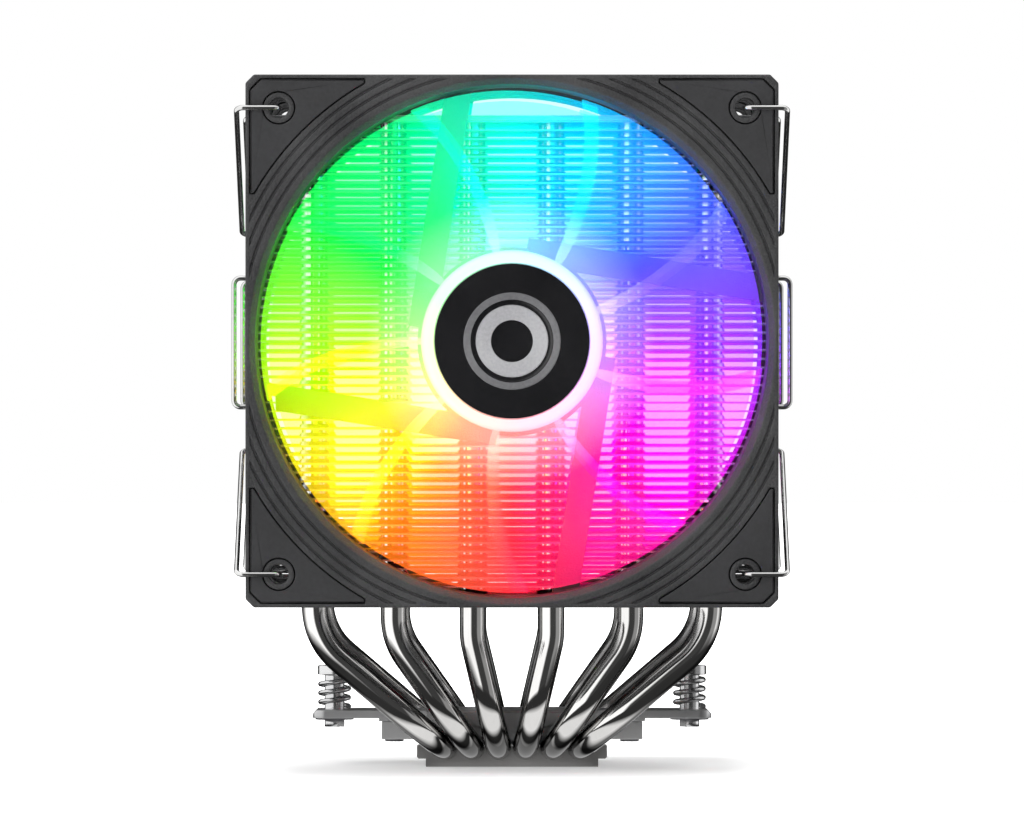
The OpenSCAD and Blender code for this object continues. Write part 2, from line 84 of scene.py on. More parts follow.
# Sizes of the CAD model that the frame doesn't give
FIN_PITCH = 2 * MM
FIN_T = 0.4 * MM
HUB_WALL = 3 * MM
HOLE_INSET = 7.5 * MM
COLLAR_FLARE = 0.35 * MM
COLLAR_GAP = 0.05 * MM
BADGE_GAP = 0.15 * MM
HOOK_DEPTH = 4.1 * MM
ARM_END_Z = 24.8 * MM
FINGER_Z = 14.8 * MM
FINGER_REACH = 1.9 * MM
GROOVE_DEPTH = 1.7 * MM
# Rings of the hub badge: where the grey and the dim ring lie, as inner and outer radii
BADGE_RIM = 11.0 * MM
GREY_RING = (4.7 * MM, 8.15 * MM)
DIM_RING = (9.35 * MM, 11.05 * MM)


# ---------- places read from the frame ----------

def size_of(node):
    low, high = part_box(node)
    return high - low


def middle_of(node):
    low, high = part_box(node)
    return (low + high) / 2


def fan_place(fan):
    """The fan's centre, the y of its front and rear faces, and half its width."""
    low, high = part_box(f"{fan}_fan_frame")
    pad_low, pad_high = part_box(f"{fan}_fan_pads")
    centre = (low + high) / 2
    return {"x": centre.x, "z": centre.z, "front": pad_low.y, "rear": pad_high.y,
            "half": (high.x - low.x) / 2}


FAN = {fan: fan_place(fan) for fan in FANS}
PIPE_R = size_of("heat_pipe_1").y / 2 - middle_of("rear_fin_stack").y
FIN_LOW, FIN_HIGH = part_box("front_fin_stack")


# ---------- settings ----------

def length(default, name, description):
    return bpy.props.FloatProperty(name=name, description=description, default=default, min=0,
                                   unit="LENGTH", precision=5)


def angle(default, name, description):
    return bpy.props.FloatProperty(name=name, description=description, default=math.radians(default),
                                   subtype="ANGLE")


def colour(default, name, description):
    return bpy.props.FloatVectorProperty(name=name, description=description, default=default, size=3,
                                         min=0, max=1, subtype="COLOR")


def number(default, name, description, low=0.0, high=1000.0):
    return bpy.props.FloatProperty(name=name, description=description, default=default, min=low, max=high)


class CoolerFanSettings(bpy.types.PropertyGroup):
    """Sizes and light of both fans"""
    blades: bpy.props.IntProperty(name="Blades", description="Blades on each impeller", default=9, min=3, max=13)
    blade_t: length(1.1 * MM, "Blade thickness", "Thickness of a blade")
    chord_hub: length(24 * MM, "Chord at hub", "Width of a blade where it leaves the hub")
    chord_tip: length(46 * MM, "Chord at tip", "Width of a blade at its tip")
    pitch_hub: angle(50, "Pitch at hub", "Blade angle where it leaves the hub")
    pitch_tip: angle(25, "Pitch at tip", "Blade angle at its tip")
    sweep: angle(12, "Sweep", "How far the blade's tip leans ahead of its root")
    camber: length(1.8 * MM, "Camber", "Depth of the blade's curve")
    glow: number(1.9, "Glow", "Strength of the light in the front fan's blades")
    solidity: number(0.16, "Blade solidity", "How much of what is behind it a front blade hides", 0, 1)
    middle_glow: number(1.3, "Middle glow", "Strength of the light in the middle fan's blades")
    middle_solidity: number(0.30, "Middle solidity", "How much of what is behind it a middle blade hides", 0, 1)
    hub_edge: length(1.6 * MM, "Hub edge", "Radius of the hub's front edge")
    lamp_power: number(0.035, "Lamp power", "Light that each coloured lamp throws on the fins")


class CoolerMetalSettings(bpy.types.PropertyGroup):
    """Bends and edges of the metal pieces"""
    tower_bend: length(16 * MM, "Upper pipe bend", "Bend radius where a pipe turns up into its tower")
    base_bend: length(15.5 * MM, "Lower pipe bend", "Bend radius where a pipe leaves the base")
    corner_drop: length(8.2 * MM, "Corner drop", "Height from a pipe's upper corner to the lowest fin")
    wire_r: length(0.6 * MM, "Clip wire radius", "Radius of the clip wire")
    wire_bend: length(1.5 * MM, "Clip wire bend", "Bend radius of the clip wire")
    collar_h: length(0.9 * MM, "Fin collar height", "Height of the collar drawn up round each pipe")
    collar_wall: length(0.3 * MM, "Fin collar wall", "Wall of the collar drawn up round each pipe")
    spring_wire: length(0.6 * MM, "Spring wire radius", "Radius of the springs' wire")
    spring_turns: number(3.25, "Spring turns", "Turns of each spring")
    soft_edge: length(0.22 * MM, "Soft edge", "Width of the rounding on machined edges")


class CoolerStageSettings(bpy.types.PropertyGroup):
    """Camera, floor and lights"""
    distance: length(2.08, "Camera distance", "Distance from the camera to the front fan's face")
    height: length(0.0828, "Camera height", "Height of the camera above the contact face")
    lens: number(325.0, "Lens", "Focal length in millimetres on a 36 mm wide sensor", 50, 800)
    floor: colour((0.9, 0.9, 0.9), "Floor", "Colour of the floor")
    light: number(1.0, "Light", "Strength of the studio lights", 0, 10)


GROUPS = {"cooler_fan": CoolerFanSettings, "cooler_metal": CoolerMetalSettings,
          "cooler_stage": CoolerStageSettings}


# ---------- modelling helpers ----------

def clear_selection():
    for obj in bpy.context.view_layer.objects.selected:
        obj.select_set(False)


def pick(obj):
    clear_selection()
    obj.select_set(True)
    bpy.context.view_layer.objects.active = obj
    return obj


def settle(obj, name=None):
    """Puts the object's place into its mesh, so that the object sits at the origin."""
    pick(obj)
    bpy.ops.object.transform_apply(location=True, rotation=True, scale=True)
    if name:
        obj.name = name
        obj.data.name = name
    return obj


class Editing:
    """Edit mode on one object, with its mesh at hand for selecting by place"""

    def __init__(self, obj, mode="VERT"):
        self.obj = obj
        self.mode = mode

    def __enter__(self):
        pick(self.obj)
        bpy.ops.object.mode_set(mode="EDIT")
        bpy.ops.mesh.select_mode(type=self.mode)
        bpy.ops.mesh.select_all(action="DESELECT")
        return self

    def __exit__(self, *problem):
        bpy.ops.object.mode_set(mode="OBJECT")

    def select(self, kind, test):
        """Selects the faces, edges or verts that pass the test, and nothing else."""
        bpy.ops.mesh.select_all(action="DESELECT")
        mesh = bmesh.from_edit_mesh(self.obj.data)
        for item in getattr(mesh, kind):
            if test(item):
                item.select_set(True)
        mesh.select_flush_mode()
        bmesh.update_edit_mesh(self.obj.data)


def edge_middle(edge):
    return (edge.verts[0].co + edge.verts[1].co) / 2


def edge_along(edge):
    return (edge.verts[1].co - edge.verts[0].co).normalized()


def apply_modifier(obj, kind, **values):
    pick(obj)
    modifier = obj.modifiers.new(kind.title(), kind)
    for key, value in values.items():
        setattr(modifier, key, value)
    bpy.ops.object.modifier_apply(modifier=modifier.name)


def smooth(obj, degrees=35):
    pick(obj)
    bpy.ops.object.shade_smooth_by_angle(angle=math.radians(degrees))


def recalculate(obj):
    with Editing(obj):
        bpy.ops.mesh.select_all(action="SELECT")
        bpy.ops.mesh.remove_doubles(threshold=1e-6)
        bpy.ops.mesh.normals_make_consistent(inside=False)


def copy_of(obj, name):
    new = bpy.data.objects.new(name, obj.data.copy())
    new.data.name = name
    bpy.context.scene.collection.objects.link(new)
    return new


def join(objects, name):
    pick(objects[0])
    for obj in objects[1:]:
        obj.select_set(True)
    bpy.ops.object.join()
    return settle(objects[0], name)


def give(obj, *materials):
    obj.data.materials.clear()
    for material in materials:
        obj.data.materials.append(material)
    return obj


def place_piece(obj, body, slot, *nodes):
    """Hands a finished piece to its body, in place of its CAD nodes."""
    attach(obj, body)
    if nodes:
        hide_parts(*nodes)
    return obj


def merged_copy(node, name):
    """A copy of a CAD node with its loose triangles joined up and its flat triangles paired into quads"""
    obj = copy_of(CAD[node], name)
    obj.data.materials.clear()
    with Editing(obj):
        bpy.ops.mesh.customdata_custom_splitnormals_clear()
        bpy.ops.mesh.select_all(action="SELECT")
        bpy.ops.mesh.remove_doubles(threshold=2e-6)
        bpy.ops.mesh.tris_convert_to_quads(face_threshold=math.radians(0.5), shape_threshold=math.pi)
    return obj


def soften(obj, width, degrees=30, segments=2):
    apply_modifier(obj, "BEVEL", width=width, segments=segments, limit_method="ANGLE",
                   angle_limit=math.radians(degrees), use_clamp_overlap=False)
    smooth(obj, 40)
    apply_modifier(obj, "WEIGHTED_NORMAL", keep_sharp=True)
    return obj


def rod(name, points, bends, radius, sides=32, arc_steps=10):
    """A round rod: a ring of edges drawn along each straight length and spun round each bend"""
    start = (points[1] - points[0]).normalized()
    bpy.ops.mesh.primitive_circle_add(vertices=sides, radius=radius, fill_type="NOTHING", location=points[0],
                                      rotation=start.to_track_quat("Z", "Y").to_euler())
    obj = settle(bpy.context.object, name)
    with Editing(obj):
        bpy.ops.mesh.select_all(action="SELECT")
        at = points[0]
        last = len(points) - 1
        for i in range(1, last + 1):
            along = (points[i] - points[i - 1]).normalized()
            cut = 0
            if i < last:
                onward = (points[i + 1] - points[i]).normalized()
                turn = along.angle(onward)
                cut = bends[i] * math.tan(turn / 2)
            target = points[i] - along * cut
            bpy.ops.mesh.extrude_region_move(TRANSFORM_OT_translate={"value": target - at})
            at = target
            if cut:
                axis = along.cross(onward).normalized()
                centre = target + axis.cross(along) * bends[i]
                bpy.ops.mesh.spin(steps=arc_steps, angle=-turn, center=centre, axis=axis)
                at = points[i] + onward * cut
        bpy.ops.mesh.select_all(action="SELECT")
        bpy.ops.mesh.remove_doubles(threshold=1e-7)
        bpy.ops.mesh.select_all(action="SELECT")
        bpy.ops.mesh.fill_holes(sides=0)
        bpy.ops.mesh.select_all(action="SELECT")
        bpy.ops.mesh.normals_make_consistent(inside=False)
    smooth(obj, 50)
    return obj


def turned(name, radius, depth, centre, steps, sides=96, facing=Vector((0, -1, 0))):
    """A turned disc: its outer face is inset and pushed in or out by each (inset, rise) step"""
    bpy.ops.mesh.primitive_cylinder_add(vertices=sides, radius=radius, depth=depth, location=centre,
                                        rotation=facing.to_track_quat("Z", "Y").to_euler())
    obj = settle(bpy.context.object, name)
    with Editing(obj, "FACE") as edit:
        edit.select("faces", lambda f: f.normal.dot(facing) > 0.99 and len(f.verts) > 4)
        for inset, rise in steps:
            bpy.ops.mesh.inset(thickness=inset, depth=0)
            if rise:
                bpy.ops.mesh.extrude_region_move(TRANSFORM_OT_translate={"value": facing * rise})
    return obj


# ---------- finishes ----------

def fill_ramp(ramp, stops):
    """Gives a colour ramp its stops, from first to last"""
    ramp.elements.remove(ramp.elements[-1])
    for i, (position, shade) in enumerate(stops):
        element = ramp.elements.new(position) if i else ramp.elements[0]
        element.position = position
        element.color = (*shade, 1)


class Nodes:
    """A short way to build one material's nodes"""

    def __init__(self, name):
        self.material = bpy.data.materials.new(name)
        self.material.use_nodes = True
        self.tree = self.material.node_tree
        self.shader = self.tree.nodes["Principled BSDF"]
        self.place = self.add("ShaderNodeTexCoord").outputs["Object"]

    def add(self, kind, inputs=None, **values):
        node = self.tree.nodes.new(kind)
        for key, value in values.items():
            setattr(node, key, value)
        for key, value in (inputs or {}).items():
            self.feed(node.inputs[key], value)
        return node

    def feed(self, socket, value):
        if isinstance(value, bpy.types.NodeSocket):
            self.tree.links.new(value, socket)
        else:
            socket.default_value = value

    def math(self, operation, a, b=0.0):
        return self.add("ShaderNodeMath", {0: a, 1: b}, operation=operation).outputs[0]

    def stretched(self, scale=(1, 1, 1), location=(0, 0, 0), rotation=(0, 0, 0)):
        return self.add("ShaderNodeMapping", {"Vector": self.place, "Scale": scale, "Location": location,
                                              "Rotation": rotation}).outputs[0]

    def noise(self, per_metre, detail=3.0, stretch=(1, 1, 1)):
        place = self.place if stretch == (1, 1, 1) else self.stretched(stretch)
        return self.add("ShaderNodeTexNoise", {"Vector": place, "Scale": per_metre, "Detail": detail}).outputs[0]

    def ramp(self, factor, stops):
        node = self.add("ShaderNodeValToRGB", {"Fac": factor})
        fill_ramp(node.color_ramp, stops)
        return node.outputs[0]

    def between(self, factor, low, high):
        return self.add("ShaderNodeMapRange", {"Value": factor, "To Min": low, "To Max": high}).outputs[0]

    def bump(self, height, distance, strength=1.0, under=None):
        inputs = {"Height": height, "Distance": distance, "Strength": strength}
        if under is not None:
            inputs["Normal"] = under
        return self.add("ShaderNodeBump", inputs).outputs[0]

    def set(self, **values):
        for key, value in values.items():
            self.feed(self.shader.inputs[key.replace("_", " ")], value)
        return self


def metal(name, dark, light, rough, rough_change, lines=(1, 1, 1), line_scale=900, bump=0.0, rim=0.0):
    """Bare or plated metal: tone and polish drift over the piece, with rolling lines and, on chrome, a painted
    dark reflection round its outline
    """
    m = Nodes(name)
    drift = m.noise(45, 2)
    grain = m.noise(line_scale, 4, lines)
    tone = m.add("ShaderNodeMix", {0: 0.25, 2: drift, 3: grain}).outputs[0]
    shade = m.ramp(tone, [(0.3, dark), (0.7, light)])
    if rim:
        # Painted dark reflection: the colour turns nearly black where the surface turns edge-on to the view,
        # standing in for the dark studio the chrome reflects
        slant = m.add("ShaderNodeLayerWeight").outputs["Facing"]
        edge = m.ramp(slant, [(0.26, (0, 0, 0)), (0.46, (rim, rim, rim))])
        shade = m.add("ShaderNodeMix", {0: edge, 6: shade, 7: (0.03, 0.03, 0.03, 1)}, data_type="RGBA").outputs[2]
    m.set(Base_Color=shade, Metallic=1.0, Roughness=m.between(tone, rough, rough + rough_change))
    if bump:
        m.set(Normal=m.bump(grain, bump))
    return m.material


def moulded(name, dark, light, rough, grain_scale, grain_depth, coat=0.0, specular=0.5):
    """Moulded plastic or rubber: fine grain in the surface, with a faint change of tone and sheen"""
    m = Nodes(name)
    grain = m.noise(grain_scale, 2)
    tone = m.add("ShaderNodeMix", {0: 0.45, 2: m.noise(60, 3), 3: grain}).outputs[0]
    m.set(Base_Color=m.ramp(tone, [(0.35, dark), (0.65, light)]),
          Roughness=m.between(m.noise(300, 2), rough - 0.06, rough + 0.08),
          Normal=m.bump(grain, grain_depth), Specular_IOR_Level=specular)
    if coat:
        m.set(Coat_Weight=coat, Coat_Roughness=0.12)
    return m.material


# Colours of the lamps' light round the fan, clockwise from the top; the blades and hub cups have this light
# painted in
CLOCK = ((0.0, 0.80, 0.62), (0.0, 0.38, 1.0), (0.08, 0.10, 1.0), (0.30, 0.03, 1.0), (0.75, 0.0, 0.85),
         (1.0, 0.0, 0.30), (1.0, 0.02, 0.05), (1.0, 0.22, 0.01), (0.95, 0.80, 0.0), (0.35, 1.0, 0.0),
         (0.0, 0.95, 0.06), (0.0, 0.85, 0.22))


def clock_colour(m, place):
    """The lamps' colour ring: the angle round the fan's axis, clockwise from the top, sets the colour"""
    axes = m.add("ShaderNodeSeparateXYZ", {0: m.place})
    right = m.math("SUBTRACT", axes.outputs[0], place["x"])
    up = m.math("SUBTRACT", axes.outputs[2], place["z"])
    turn = m.math("DIVIDE", m.math("ARCTAN2", right, up), 2 * math.pi)
    around = m.math("FRACT", m.math("ADD", turn, 1.0))
    stops = [(i / 12, shade) for i, shade in enumerate(CLOCK)] + [(1.0, CLOCK[0])]
    radius = m.math("SQRT", m.math("ADD", m.math("MULTIPLY", right, right), m.math("MULTIPLY", up, up)))
    return m.ramp(around, stops), radius


def lit_plastic(name, place, solid, glow, glare_from, glare_to, glare_whiteness):
    """Clear frosted plastic with the hub lamps' light painted in: a painted glow coloured by its place on the
    clock, painted paler near the hub
    """
    m = Nodes(name)
    lamp_hue, radius = clock_colour(m, place)
    # Painted glare: the colour turns whiter towards the hub, where the painted light is strongest
    pale = m.add("ShaderNodeMapRange", {"Value": radius, "From Min": glare_from, "From Max": glare_to,
                                        "To Min": glare_whiteness, "To Max": 0.0}).outputs[0]
    # The painted glow's strength varies at random over the plastic
    glow_streak = m.between(m.noise(55, 2), 0.85, 1.1)
    shade = m.add("ShaderNodeMix", {0: pale, 6: lamp_hue, 7: (1, 1, 1, 1)}, data_type="RGBA")
    # Both the base colour and the emission carry the painted coloured light
    m.set(Base_Color=shade.outputs[2], Emission_Color=shade.outputs[2],
          Emission_Strength=m.math("MULTIPLY", glow_streak, glow), Roughness=0.25, Alpha=solid,
          Normal=m.bump(m.noise(700, 2), 0.00002))
    return m.material


def laminated_steel(name):
    """Stacked motor steel: thin sheets across the shaft"""
    m = Nodes(name)
    sheets = m.add("ShaderNodeTexWave", {"Vector": m.place, "Scale": 330, "Distortion": 0.1},
                   bands_direction="Y").outputs[0]
    m.set(Base_Color=m.ramp(sheets, [(0.2, (0.20, 0.21, 0.23)), (0.8, (0.46, 0.47, 0.50))]), Metallic=1.0,
          Roughness=m.between(m.noise(400), 0.3, 0.5), Normal=m.bump(sheets, 0.00004))
    return m.material


def wound_copper(name):
    """Enamelled wire laid side by side"""
    m = Nodes(name)
    turns = m.add("ShaderNodeTexWave", {"Vector": m.stretched((1, 0.35, 1), rotation=(0, 0.785, 0)),
                                        "Scale": 480, "Distortion": 0.4}).outputs[0]
    m.set(Base_Color=m.ramp(turns, [(0.1, (0.22, 0.07, 0.02)), (0.8, (0.80, 0.36, 0.13))]), Metallic=0.9,
          Roughness=m.between(m.noise(300), 0.22, 0.4), Normal=m.bump(turns, 0.00012),
          Coat_Weight=0.5)
    return m.material


def circuit_green(name):
    """Solder mask over faint copper tracks"""
    m = Nodes(name)
    tracks = m.add("ShaderNodeTexVoronoi", {"Vector": m.place, "Scale": 380}, distance="MANHATTAN",
                   feature="F1").outputs[0]
    m.set(Base_Color=m.ramp(tracks, [(0.2, (0.010, 0.085, 0.035)), (0.55, (0.03, 0.22, 0.09))]),
          Roughness=m.between(m.noise(200), 0.25, 0.4), Normal=m.bump(tracks, 0.00003), Coat_Weight=0.4)
    return m.material


def lamp_lens(name, place):
    """Light source lens, in the colour of its place on the clock"""
    m = Nodes(name)
    lamp_hue, _ = clock_colour(m, place)
    m.set(Base_Color=m.ramp(m.noise(500), [(0.3, (0.85, 0.85, 0.8)), (0.7, (1, 1, 0.96))]),
          Emission_Color=lamp_hue, Emission_Strength=m.between(m.noise(300), 2.5, 3.5), Roughness=0.2)
    return m.material


def make_finishes():
    """One material for each slot of the record, plus the badge's rings, each fan's plastics with painted glow, and
    its lamps
    """
    fine_lines = (1, 14, 14)
    finish = {
        # nickel_plate is darkened to a dull grey, far below bright nickel: painted shade for the dark surroundings
        # that the plate reflects
        "nickel_plate": metal("nickel_plate", (0.24, 0.235, 0.23), (0.34, 0.335, 0.33), 0.36, 0.10, (1, 10, 10),
                              900, 3e-6),
        "clamp_metal": metal("clamp_metal", (0.64, 0.64, 0.64), (0.76, 0.76, 0.76), 0.36, 0.10, fine_lines, 700,
                             4e-6),
        "bar_steel": metal("bar_steel", (0.58, 0.58, 0.59), (0.70, 0.70, 0.70), 0.36, 0.10, fine_lines, 900, 4e-6),
        "dark_screw": metal("dark_screw", (0.10, 0.10, 0.105), (0.22, 0.22, 0.23), 0.25, 0.18, (1, 1, 10), 900,
                            8e-6),
        "pipe_plating": metal("pipe_plating", (0.74, 0.73, 0.715), (0.90, 0.89, 0.875), 0.05, 0.04, (1, 1, 0.2),
                              500, rim=0.9),
        "fin_aluminium": metal("fin_aluminium", (0.80, 0.80, 0.81), (0.93, 0.93, 0.94), 0.16, 0.16, (0.06, 1, 1),
                               1800, 4e-6),
        "cover_aluminium": metal("cover_aluminium", (0.70, 0.70, 0.71), (0.86, 0.86, 0.87), 0.22, 0.14,
                                 (0.04, 1, 1), 2600, 7e-6),
        "spring_steel": metal("spring_steel", (0.48, 0.48, 0.49), (0.72, 0.72, 0.72), 0.12, 0.12, (1, 1, 8), 700,
                              4e-6),
        "screw_steel": metal("screw_steel", (0.56, 0.56, 0.57), (0.78, 0.78, 0.78), 0.12, 0.14, (1, 1, 14), 900,
                             7e-6),
        "clip_wire": metal("clip_wire", (0.60, 0.60, 0.60), (0.80, 0.80, 0.79), 0.08, 0.08, (1, 1, 6), 600, 3e-6),
        "bearing_brass": metal("bearing_brass", (0.48, 0.32, 0.12), (0.66, 0.48, 0.22), 0.35, 0.2, (1, 1, 1), 2500,
                               2e-5),
        "magnet_dark": metal("magnet_dark", (0.05, 0.048, 0.046), (0.12, 0.11, 0.11), 0.5, 0.2, (1, 1, 1), 1800,
                             2e-5),
        "frame_plastic": moulded("frame_plastic", (0.016, 0.016, 0.017), (0.040, 0.040, 0.041), 0.44, 2400,
                                 1.6e-4),
        "pad_rubber": moulded("pad_rubber", (0.018, 0.018, 0.019), (0.026, 0.026, 0.028), 0.50, 1200, 8e-6),
        "badge_black": moulded("badge_black", (0.003, 0.003, 0.004), (0.008, 0.008, 0.009), 0.22, 900, 3e-6,
                               coat=0.6),
        "label_grey": moulded("label_grey", (0.36, 0.36, 0.37), (0.46, 0.46, 0.47), 0.35, 1500, 4e-6),
        "stator_steel": laminated_steel("stator_steel"),
        "coil_copper": wound_copper("coil_copper"),
        "board_green": circuit_green("board_green"),
        "ring_grey": moulded("ring_grey", (0.22, 0.22, 0.23), (0.31, 0.31, 0.32), 0.40, 1500, 4e-6),
        "ring_dim": moulded("ring_dim", (0.075, 0.075, 0.08), (0.13, 0.13, 0.135), 0.35, 1500, 4e-6),
    }
    fan_set = bpy.context.scene.cooler_fan
    for fan in FANS:
        place = FAN[fan]
        hub_r = size_of(f"{fan}_hub_badge").x / 2 + HUB_WALL
        solid, glow = {"front": (fan_set.solidity, fan_set.glow),
                       "middle": (fan_set.middle_solidity, fan_set.middle_glow)}[fan]
        # Painted glow in the lamps' colours for blades and hub cup, painted whiter near the hub
        finish[f"{fan}_blade_light"] = lit_plastic(f"{fan}_blade_light", place, solid, glow, hub_r, 1.6 * hub_r,
                                                   glare_whiteness=0.36)
        finish[f"{fan}_hub_light"] = lit_plastic(f"{fan}_hub_light", place, 1.0, 0.30, hub_r, 1.5 * hub_r,
                                                 glare_whiteness=0.45)
        finish[f"{fan}_lamps"] = lamp_lens(f"{fan}_lamps", place)
    return finish


# ---------- pieces ----------

class CoolerOperator:
    bl_options = {"REGISTER", "UNDO"}

    @property
    def fan(self):
        return bpy.context.scene.cooler_fan

    @property
    def metal(self):
        return bpy.context.scene.cooler_metal


class COOLER_OT_finishes(CoolerOperator, bpy.types.Operator):
    """Give each CAD node the finish of its slot"""
    bl_idname = "cooler.finishes"
    bl_label = "Finishes"

    def execute(self, context):
        FINISH.update(make_finishes())
        slots = {row["node"]: row["material_slot"] for row in frame["record"]["subparts"]}
        for node, obj in CAD.items():
            fan = node.split("_")[0]
            lit = {"blade_plastic": f"{fan}_blade_light", "led_white": f"{fan}_lamps"}
            give(obj, FINISH[lit.get(slots[node], slots[node])])
        return {"FINISHED"}


class COOLER_OT_heat_pipes(CoolerOperator, bpy.types.Operator):
    """Draw each heat pipe along the base, up the lean and into its two towers"""
    bl_idname = "cooler.heat_pipes"
    bl_label = "Heat pipes"

    def execute(self, context):
        tower_y = middle_of("rear_fin_stack").y
        for i in PIPES:
            node = f"heat_pipe_{i}"
            low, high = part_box(node)
            side = -1 if low.x < 0 else 1
            near, far = sorted((abs(low.x), abs(high.x)))
            base_x, tower_x = side * (near + PIPE_R), side * (far - PIPE_R)
            base_z = low.z + PIPE_R
            corner_z = FIN_LOW.z - self.metal.corner_drop
            leg = [Vector((tower_x, -tower_y, high.z)), Vector((tower_x, -tower_y, corner_z)),
                   Vector((base_x, -tower_y, base_z))]
            points = leg + [Vector((p.x, -p.y, p.z)) for p in reversed(leg)]
            upper, lower = self.metal.tower_bend, self.metal.base_bend
            bends = [0, upper, lower, lower, upper, 0]
            pipe = rod(f"pipe_{i}", points, bends, PIPE_R, sides=48, arc_steps=16)
            place_piece(give(pipe, FINISH["pipe_plating"]), "tower", "pipe_plating", node)
        return {"FINISHED"}


class COOLER_OT_fin_collars(CoolerOperator, bpy.types.Operator):
    """Add the collar that each fin is drawn up into round each pipe"""
    bl_idname = "cooler.fin_collars"
    bl_label = "Fin collars"

    def execute(self, context):
        count = round((FIN_HIGH.z - FIN_LOW.z) / FIN_PITCH)
        for tower in ("front", "rear"):
            y = middle_of(f"{tower}_fin_stack").y
            rings = []
            for i in PIPES:
                low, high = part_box(f"heat_pipe_{i}")
                x = (low.x + PIPE_R) if low.x < 0 else (high.x - PIPE_R)
                outer = PIPE_R + self.metal.collar_wall
                bpy.ops.mesh.primitive_cone_add(vertices=24, radius1=outer + COLLAR_FLARE, radius2=outer,
                                                depth=self.metal.collar_h, end_fill_type="NOTHING",
                                                location=(x, y, FIN_LOW.z + FIN_T + self.metal.collar_h / 2))
                ring = settle(bpy.context.object, f"{tower}_collar_{i}")
                with Editing(ring, "EDGE") as edit:
                    top = FIN_LOW.z + FIN_T + self.metal.collar_h
                    edit.select("edges", lambda e: abs(edge_middle(e).z - top) < 1e-6)
                    bpy.ops.mesh.extrude_region_move(TRANSFORM_OT_translate={"value": (0, 0, 0)})
                    shrink = (PIPE_R + COLLAR_GAP) / outer
                    bpy.ops.transform.resize(value=(shrink, shrink, 1), center_override=(x, y, top))
                apply_modifier(ring, "ARRAY", count=count - 1, use_relative_offset=False,
                               use_constant_offset=True, constant_offset_displace=(0, 0, FIN_PITCH))
                rings.append(ring)
            collars = join(rings, f"{tower}_fin_collars")
            smooth(collars, 40)
            place_piece(give(collars, FINISH["fin_aluminium"]), "tower", "fin_aluminium")
        return {"FINISHED"}


class COOLER_OT_base(CoolerOperator, bpy.types.Operator):
    """Soften the edges of the base, the crossbar, their screws and the cover plates"""
    bl_idname = "cooler.base"
    bl_label = "Base and covers"

    def execute(self, context):
        soft = self.metal.soft_edge
        for node, slot, width in (("pipe_clamp_block", "clamp_metal", soft),
                                  ("mounting_bar", "bar_steel", 0.5 * soft),
                                  ("bar_screws", "dark_screw", soft),
                                  ("front_cover_plate", "cover_aluminium", 0.8 * soft),
                                  ("rear_cover_plate", "cover_aluminium", 0.8 * soft)):
            piece = soften(merged_copy(node, f"{node}_soft"), width)
            place_piece(give(piece, FINISH[slot]), "tower", slot, node)
        return {"FINISHED"}


class COOLER_OT_sprung_screws(CoolerOperator, bpy.types.Operator):
    """Wind the springs and soften the screws that run through them and their retaining rings"""
    bl_idname = "cooler.sprung_screws"
    bl_label = "Sprung screws"

    def execute(self, context):
        wire = self.metal.spring_wire
        for side, _ in SIDES:
            low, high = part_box(f"{side}_spring")
            centre = (low + high) / 2
            coil_r = (high.y - low.y) / 2 - wire
            bpy.ops.mesh.primitive_circle_add(vertices=14, radius=wire, fill_type="NOTHING",
                                              location=(coil_r, 0, wire), rotation=(math.pi / 2, 0, 0))
            coil = settle(bpy.context.object, f"{side}_coil")
            rise = high.z - low.z - 2 * wire
            apply_modifier(coil, "SCREW", angle=2 * math.pi * self.metal.spring_turns, axis="Z",
                           screw_offset=rise, steps=int(30 * self.metal.spring_turns),
                           render_steps=int(30 * self.metal.spring_turns), use_merge_vertices=False)
            with Editing(coil):
                bpy.ops.mesh.select_all(action="SELECT")
                bpy.ops.mesh.fill_holes(sides=0)
                bpy.ops.mesh.select_all(action="SELECT")
                bpy.ops.mesh.normals_make_consistent(inside=False)
            smooth(coil, 50)
            coil.location = (centre.x, centre.y, low.z)
            settle(coil)
            place_piece(give(coil, FINISH["spring_steel"]), "tower", "spring_steel", f"{side}_spring")
            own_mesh(coil)
            screw = soften(merged_copy(f"{side}_spring_screw", f"{side}_screw_soft"), self.metal.soft_edge)
            place_piece(give(screw, FINISH["screw_steel"]), f"{side}_screw", "screw_steel", f"{side}_spring_screw")
            ring = soften(merged_copy(f"{side}_retaining_ring", f"{side}_ring_soft"), 0.4 * self.metal.soft_edge)
            place_piece(give(ring, FINISH["dark_screw"]), f"{side}_screw_ring", "dark_screw",
                        f"{side}_retaining_ring")
        return {"FINISHED"}


class COOLER_OT_fan_frames(CoolerOperator, bpy.types.Operator):
    """Soften the moulded edges of both fan frames and round the tips of their rubber pads"""
    bl_idname = "cooler.fan_frames"
    bl_label = "Fan frames and pads"

    def execute(self, context):
        for fan in FANS:
            shell = soften(merged_copy(f"{fan}_fan_frame", f"{fan}_frame_soft"), 0.3 * MM, 25)
            place_piece(give(shell, FINISH["frame_plastic"]), f"{fan}_fan", "frame_plastic", f"{fan}_fan_frame")
            pads = merged_copy(f"{fan}_fan_pads", f"{fan}_pads_soft")
            place = FAN[fan]
            hole_at = place["half"] - HOLE_INSET
            with Editing(pads, "EDGE") as edit:
                def outline_corner(e):
                    middle = edge_middle(e)
                    x, z = middle.x - place["x"], middle.z - place["z"]
                    away = math.hypot(abs(x) - hole_at, abs(z) - hole_at)
                    if abs(edge_along(e).y) < 0.99 or away < 5 * MM or len(e.link_faces) < 2:
                        return False
                    return e.calc_face_angle(0) > math.radians(20)
                edit.select("edges", outline_corner)
                bpy.ops.mesh.bevel(offset=1.1 * MM, segments=5, affect="EDGES", clamp_overlap=True)
            soften(pads, 0.22 * MM, 35)
            place_piece(give(pads, FINISH["pad_rubber"]), f"{fan}_fan", "pad_rubber", f"{fan}_fan_pads")
        return {"FINISHED"}


